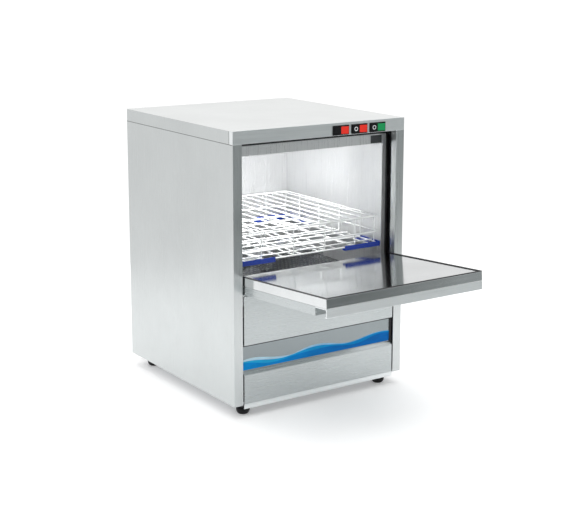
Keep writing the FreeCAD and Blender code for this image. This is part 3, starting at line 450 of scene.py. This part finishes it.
def runner_ribs():
    """Small upright ribs inside the lip of each corner runner."""
    lo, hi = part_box("rack_corner_runners")
    wall, reach, thick, pitch = 2.2 * MM, 5 * MM, 1.4 * MM, 15 * MM
    base, top = lo.z + 6.7 * MM, lo.z + 14 * MM
    mesh = bmesh.new()
    for side in (-1, 1):
        for inward in (1, -1):
            edge = lo.y + wall if inward > 0 else hi.y - wall
            for step in range(8):
                x = side * (hi.x - 14 * MM - step * pitch)
                prism(mesh, [(x, edge, base), (x, edge + inward * reach, base),
                             (x, edge, top)], (thick, 0, 0))
            for step in range(6):
                y = edge + inward * (16 * MM + step * pitch)
                x = side * (hi.x - wall)
                prism(mesh, [(x, y, base), (x - side * reach, y, base), (x, y, top)],
                      (0, thick, 0))
    settle(from_bmesh("rack_runner_ribs", mesh), "blue_plastic", "rack")


# ---- switches ----------------------------------------------------------------------------

def switches():
    """Coloured lens on the proud half of each rocker, and a ring mark on two of them."""
    bezel, flush, tip = 2 * MM, 1.5 * MM, 6.4 * MM
    half, edge, proud, sunk = 10.6 * MM, 0.6 * MM, 0.35 * MM, 0.5 * MM
    for name in SWITCHES:
        lo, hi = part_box("rocker_" + name)
        middle, height = (lo.x + hi.x) / 2, (lo.z + hi.z) / 2
        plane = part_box("switch_housing_" + name)[0].y + bezel
        near, far = plane - flush, plane - tip
        outline = [(middle + edge, near - proud), (hi.x - edge, far - proud),
                   (hi.x - 0.9 * MM, far + 1.2 * MM), (middle + edge, near + sunk)]
        mesh = bmesh.new()
        prism(mesh, [(x, y, height - half) for x, y in outline], (0, 0, 2 * half))
        item = from_bmesh("rocker_lens_" + name, mesh)
        colour = "green" if name == "start" else "red"
        settle(item, colour + "_lens", name + "_rocker")
        soften(item, 0.3 * MM)
        item.modifiers["edges"].segments = 3
        if name != "power":
            mesh = bmesh.new()
            ring_mark(mesh, Vector((middle - 12 * MM, near - 0.02 * MM, height)))
            mark = from_bmesh("rocker_mark_" + name, mesh, 40)
            settle(mark, "mark_print", name + "_rocker")


def ring_mark(mesh, centre, radius=6.2 * MM, width=1.9 * MM, depth=0.25 * MM, count=32):
    """A flat raised ring that faces the front."""
    turns = [2 * math.pi * step / count for step in range(count)]
    rows = []
    for size, y in ((radius, 0), (radius, -depth), (radius - width, -depth), (radius - width, 0)):
        ring = [Vector((size * math.cos(turn), y, size * math.sin(turn))) for turn in turns]
        rows.append([mesh.verts.new(centre + point) for point in ring])
    for row in range(4):
        band(mesh, rows[row], rows[(row + 1) % 4])


# ---- strip, lid and hem ------------------------------------------------------------------

def crest(u):
    """Height of the main wave as a share of the strip, from its left end to its right."""
    return 0.27 + 0.1 * u + 0.08 * math.sin(2 * math.pi * (2.2 * u + 0.2))


def foam(u):
    return crest(u) + 0.02 + 0.1 * (1 - u) * abs(math.sin(2 * math.pi * (1.3 * u + 0.08)))


def depths(u):
    return crest(u) - 0.09 + 0.04 * math.sin(2 * math.pi * (3.1 * u + 0.3))


def wave_pieces():
    """Printed water along the strip, in three raised layers of wave, and a dark strip of painted
    shadow along the top and right end of the recess.
    """
    lo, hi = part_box("decor_strip")
    width, tall = hi.x - lo.x, hi.z - lo.z
    low = lo.z + 1.5 * MM
    margin, count = 0.004, 72
    for name, made, thick, height in (("wave_print_crest", "wave_crest", 0.10 * MM, foam),
                                      ("wave_print_mid", "wave_mid", 0.18 * MM, crest),
                                      ("wave_print_deep", "wave_deep", 0.26 * MM, depths)):
        mesh = bmesh.new()
        outline = [(lo.x + width * margin, lo.y, low), (hi.x - width * margin, lo.y, low)]
        for step in range(count + 1):
            u = 1 - step / count
            x = lo.x + width * (margin + (1 - 2 * margin) * u)
            outline.append((x, lo.y, lo.z + tall * height(u)))
        prism(mesh, outline, (0, -thick, 0))
        settle(from_bmesh(name, mesh), made, "cabinet")

    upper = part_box("front_upper_panel")[0]
    # The dark strip here, in seal rubber, is painted shadow under the upper panel's edge and at the
    # recess's right end.
    shadow_height, under = 3 * MM, upper.z - 3 * MM
    tucked = upper.y + 2 * MM
    mesh = bmesh.new()
    prism(mesh, [(lo.x, tucked, upper.z), (lo.x, tucked, under), (lo.x, lo.y, under),
                 (lo.x, lo.y, upper.z)], (width, 0, 0))
    prism(mesh, [(hi.x - 4 * MM, lo.y, under), (hi.x - 4 * MM, lo.y - 1 * MM, under),
                 (hi.x, lo.y - 6 * MM, under), (hi.x, lo.y, under)], (0, 0, shadow_height - tall))
    settle(from_bmesh("strip_edge_painted_shadow", mesh), "seal_rubber", "cabinet")


def lid():
    """Lid pressing with rounded top and corner edges, and the tongue behind the fascia; painted
    light on its top, painted shade on its upright faces, and a painted shadow line under it.
    """
    lo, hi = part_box("top_cover")
    tongue, edge_radius = 18 * MM, 1.8 * MM
    front = lo.y + tongue - STEEL_SKIN
    tall = hi.z - lo.z
    mesh = bmesh.new()
    corners = [(lo.x, front, lo.z), (hi.x, front, lo.z), (hi.x, hi.y, lo.z), (lo.x, hi.y, lo.z)]
    prism(mesh, corners, (0, 0, tall))
    bmesh.ops.recalc_face_normals(mesh, faces=mesh.faces)
    open_faces = [f for f in mesh.faces if f.normal.z < -0.5 or f.normal.y < -0.5]
    bmesh.ops.delete(mesh, geom=open_faces, context="FACES")
    folded = [e for e in mesh.edges if len(e.link_faces) == 2]
    bmesh.ops.bevel(mesh, geom=folded, offset=edge_radius, segments=4, profile=0.5,
                    affect="EDGES")
    item = from_bmesh("lid_pressing", mesh)
    # The top faces take the lighter lid steel and the upright faces the darker side steel: painted
    # light on top, painted shade on the sides.
    for face in item.data.polygons:
        face.material_index = int(abs(face.normal.z) < 0.5)
    thickened(item)
    settle(item, "lid_steel_painted_light", "cabinet")
    item.data.materials.append(MATERIALS["side_steel_painted_shade"])
    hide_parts("top_cover")

    left, right, under = lo.x + STEEL_SKIN, hi.x - STEEL_SKIN, hi.z - STEEL_SKIN
    mesh = bmesh.new()
    prism(mesh, [(left, lo.y, under), (right, lo.y, under), (right, front, under),
                 (left, front, under)], (0, 0, STEEL_SKIN))
    settle(from_bmesh("lid_tongue", mesh), "lid_steel_painted_light", "cabinet")

    # Thin dark strips below the lid's side edges and up its front corners are painted shadow lines.
    gap, proud = 1.6 * MM, 0.12 * MM
    mesh = bmesh.new()
    for x in (lo.x - proud, hi.x):
        for near, far, z, rise in ((lo.y, hi.y, lo.z - gap, gap),
                                   (front, front + gap, lo.z, tall - gap)):
            prism(mesh, [(x, near, z), (x + proud, near, z), (x + proud, far, z), (x, far, z)],
                  (0, 0, rise))
    settle(from_bmesh("lid_painted_shadow_line", mesh), "seam_shade", "cabinet")


def hem_roll():
    """Rolled lower edge of the front panel, a soft round bead that catches the floor's light, in
    the lighter fascia steel as a painted highlight.
    """
    lo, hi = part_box("front_lower_panel")
    section = [(0.8, 16.5), (-0.1, 14), (-0.3, 9), (0, 4), (1, 0.6), (2.4, 0), (3, 1)]
    mesh = bmesh.new()
    prism(mesh, [(lo.x, lo.y + y * MM, lo.z + z * MM) for y, z in section],
          (hi.x - lo.x, 0, 0))
    # The bead takes the lighter fascia steel instead of the panel's own: a painted highlight.
    settle(from_bmesh("panel_hem_roll", mesh, 40), "fascia_steel_painted_light", "cabinet")


# ---- back, tank and feet -----------------------------------------------------------------

def hex_screws():
    """Flanged hexagon screws on the rear panel and the lid's back edge."""
    lo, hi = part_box("panel_screws")
    inset, proud = 4 * MM, 2 * MM
    spots = [(x, z * MM) for x in (lo.x + inset, hi.x - inset) for z in (60, 225, 390, 555, 720)]
    spots += [(x * MM, hi.z - inset) for x in (-240, 0, 240)]
    flange = [(4 * MM, 0), (4.2 * MM, 0.3 * MM), (3.6 * MM, 0.7 * MM)]
    head = [(3.2 * MM, 0.5 * MM), (3.2 * MM, 1.8 * MM), (2.7 * MM, 2.1 * MM)]
    mesh = bmesh.new()
    for x, z in spots:
        turned(mesh, flange, (x, hi.y - proud, z), 24, True)
        turned(mesh, head, (x, hi.y - proud, z), 6, True)
    item = settle(from_bmesh("flanged_screws", mesh, 30), "zinc_steel", "cabinet")
    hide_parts("panel_screws")


def fittings():
    """Thread on the water inlet, barbs on the drain spigot, and a hexagon on the gland."""
    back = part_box("rear_panel")[1].y
    inlet, drain, gland = (centre_of(node) for node in ("inlet_valve", "drain_pipe", "cable_gland"))
    inlet_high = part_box("cable_gland")[0].z + 11 * MM
    drain_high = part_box("drain_pipe")[0].z + 14 * MM

    core, thread, pitch = 12.9 * MM, 13.75 * MM, 1.8 * MM
    mesh = bmesh.new()
    for step in range(9):
        at = 1.5 * MM + step * pitch
        turned(mesh, [(core, at), (thread, at + 0.75 * MM), (core, at + 1.5 * MM)],
               (inlet.x, back, inlet_high), 48, True)
    settle(from_bmesh("inlet_thread", mesh, 20), "valve_brass", "cabinet")

    core, barb, long = 14.8 * MM, 16.1 * MM, 3.6 * MM
    mesh = bmesh.new()
    for at in (9 * MM, 15 * MM, 21 * MM):
        turned(mesh, [(core, at), (barb, at + 0.4 * MM), (core, at + long)],
               (drain.x, back, drain_high), 48, True)
    settle(from_bmesh("drain_barbs", mesh, 20), "grey_plastic", "cabinet")

    mesh = bmesh.new()
    hexagon = [(12.6 * MM, 0), (12.9 * MM, 0.5 * MM), (12.9 * MM, 4.2 * MM), (12.4 * MM, 5 * MM)]
    turned(mesh, hexagon, (gland.x, back, gland.z), 6, True)
    settle(from_bmesh("gland_hexagon", mesh, 20), "black_plastic", "cabinet")


def filter_sheets():
    """Two pressed filter sheets over the tank, slotted all over, clear of spindle and drain."""
    lo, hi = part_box("surface_filters")
    gap = 1 * MM
    keep_clear = [(centre_of("arm_spindles"), 20 * MM), (centre_of("overflow_pipe"), 18 * MM)]
    mesh = bmesh.new()
    for start, end in ((lo.x, -gap), (gap, hi.x)):
        slotted(mesh, (start, lo.y), (end, hi.y), hi.z, (18, 22), keep_clear)
    item = from_bmesh("slotted_filters", mesh)
    thickened(item)
    settle(item, "filter_steel", "cabinet")
    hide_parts("surface_filters")


def slotted(mesh, low, high, tall, cells, keep_clear):
    """A flat sheet of cells, each a frame round one slot; cells in the way are left out."""
    across = (high[0] - low[0]) / cells[0]
    along = (high[1] - low[1]) / cells[1]
    wide, deep = across * 0.22, along * 0.34
    for column in range(cells[0]):
        for row in range(cells[1]):
            x, y = low[0] + column * across, low[1] + row * along
            cx, cy = x + across / 2, y + along / 2
            if any(math.hypot(cx - at.x, cy - at.y) < reach for at, reach in keep_clear):
                continue
            outer = [(x, y), (x + across, y), (x + across, y + along), (x, y + along)]
            inner = [(cx - wide, cy - deep), (cx + wide, cy - deep),
                     (cx + wide, cy + deep), (cx - wide, cy + deep)]
            band(mesh, *([mesh.verts.new((*point, tall)) for point in loop]
                         for loop in (outer, inner)))
    bmesh.ops.remove_doubles(mesh, verts=mesh.verts, dist=0.1 * MM)


def rubber_feet():
    """Round moulded feet with a rolled edge and a waist."""
    lo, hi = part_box("feet")
    radius = 20 * MM
    profile = [(13, 0), (14.2, 0.4), (15.4, 1.6), (17.4, 4.4), (19, 7.6), (19.8, 10.4), (20, 12.6),
               (19.7, 15), (18.8, 17.2), (17.2, 19), (15.4, 19.8), (13, 20)]
    mesh = bmesh.new()
    for x in (lo.x + radius, hi.x - radius):
        for y in (lo.y + radius, hi.y - radius):
            turned(mesh, [(r * MM, z * MM) for r, z in profile], (x, y, 0))
    item = from_bmesh("moulded_feet", mesh, 50)
    settle(item, "black_plastic", "cabinet")
    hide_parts("feet")


# ---- stage -------------------------------------------------------------------------------

def floor():
    mesh = bmesh.new()
    bmesh.ops.create_circle(mesh, cap_ends=True, radius=FLOOR_RADIUS, segments=96)
    item = from_bmesh("studio_floor", mesh)
    plain("studio_floor", even(0.93), 0.9, 4, 0.0, vary=0.01, Specular_IOR_Level=0.1,
          Emission_Color=(1, 1, 1, 1), Emission_Strength=0.2)
    item.data.materials.append(MATERIALS["studio_floor"])


def area_light(name, place, aim, size, power):
    data = bpy.data.lights.new(name, "AREA")
    data.shape = "RECTANGLE"
    data.size, data.size_y = size
    data.energy = power
    item = linked(name, data)
    item.location = place
    item.rotation_euler = (Vector(aim) - Vector(place)).to_track_quat("-Z", "Y").to_euler()
    return item


def background(tree, strength):
    node = tree.nodes.new("ShaderNodeBackground")
    node.inputs["Strength"].default_value = strength
    return node


def studio():
    """A white room with a darker corner in front on the right, and soft lights."""
    world = bpy.data.worlds.new("studio")
    bpy.context.scene.world = world
    world.use_nodes = True
    tree = world.node_tree
    tree.nodes.clear()
    place = tree.nodes.new("ShaderNodeTexCoord")
    dot = tree.nodes.new("ShaderNodeVectorMath")
    dot.operation = "DOT_PRODUCT"
    dot.inputs[1].default_value = DARK_SIDE
    link(tree, place, "Generated", dot, "Vector")
    room = background(tree, 0.95)
    link(tree, ramp(tree, dot, ROOM_TONES, out="Value"), "Color", room, "Color")
    white = background(tree, 1.1)
    white.inputs["Color"].default_value = (1, 1, 1, 1)
    rays = tree.nodes.new("ShaderNodeLightPath")
    mixed = tree.nodes.new("ShaderNodeMixShader")
    end = tree.nodes.new("ShaderNodeOutputWorld")
    link(tree, rays, "Is Camera Ray", mixed, 0)
    link(tree, room, 0, mixed, 1)
    link(tree, white, 0, mixed, 2)
    link(tree, mixed, 0, end, 0)
    area_light("key", (-2.6, -1.6, 3.2), (0, 0, 0.3), (2.4, 2.4), 30)
    area_light("top", (0.5, -0.2, 3.4), (0.2, -0.2, 0), (3.4, 3.4), 42)
    lo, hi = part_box("tub_ceiling")
    inside = area_light("chamber", (-0.05, lo.y + 0.06, lo.z - 0.02), (-0.2, hi.y, 0.55),
                        (0.3, 0.06), 9)
    inside.visible_camera = False
    inside.visible_glossy = False


def camera():
    data = bpy.data.cameras.new("camera")
    data.sensor_width = 36
    data.lens = CAMERA_LENS
    data.shift_x, data.shift_y = CAMERA_SHIFT
    data.clip_start, data.clip_end = 0.05, 100
    item = linked("camera", data)
    yaw, pitch, roll = (math.radians(angle) for angle in CAMERA_TURN)
    turn = (Matrix.Rotation(yaw, 4, "Z") @ Matrix.Rotation(math.pi / 2 + pitch, 4, "X")
            @ Matrix.Rotation(roll, 4, "Z"))
    item.matrix_world = Matrix.Translation(CAMERA_PLACE) @ turn
    bpy.context.scene.camera = item
    bpy.context.scene.view_settings.view_transform = "Standard"


dress_nodes()
rack()
runner_ribs()
switches()
wave_pieces()
rubber_feet()
filter_sheets()
hex_screws()
fittings()
lid()
hem_roll()
floor()
studio()
camera()
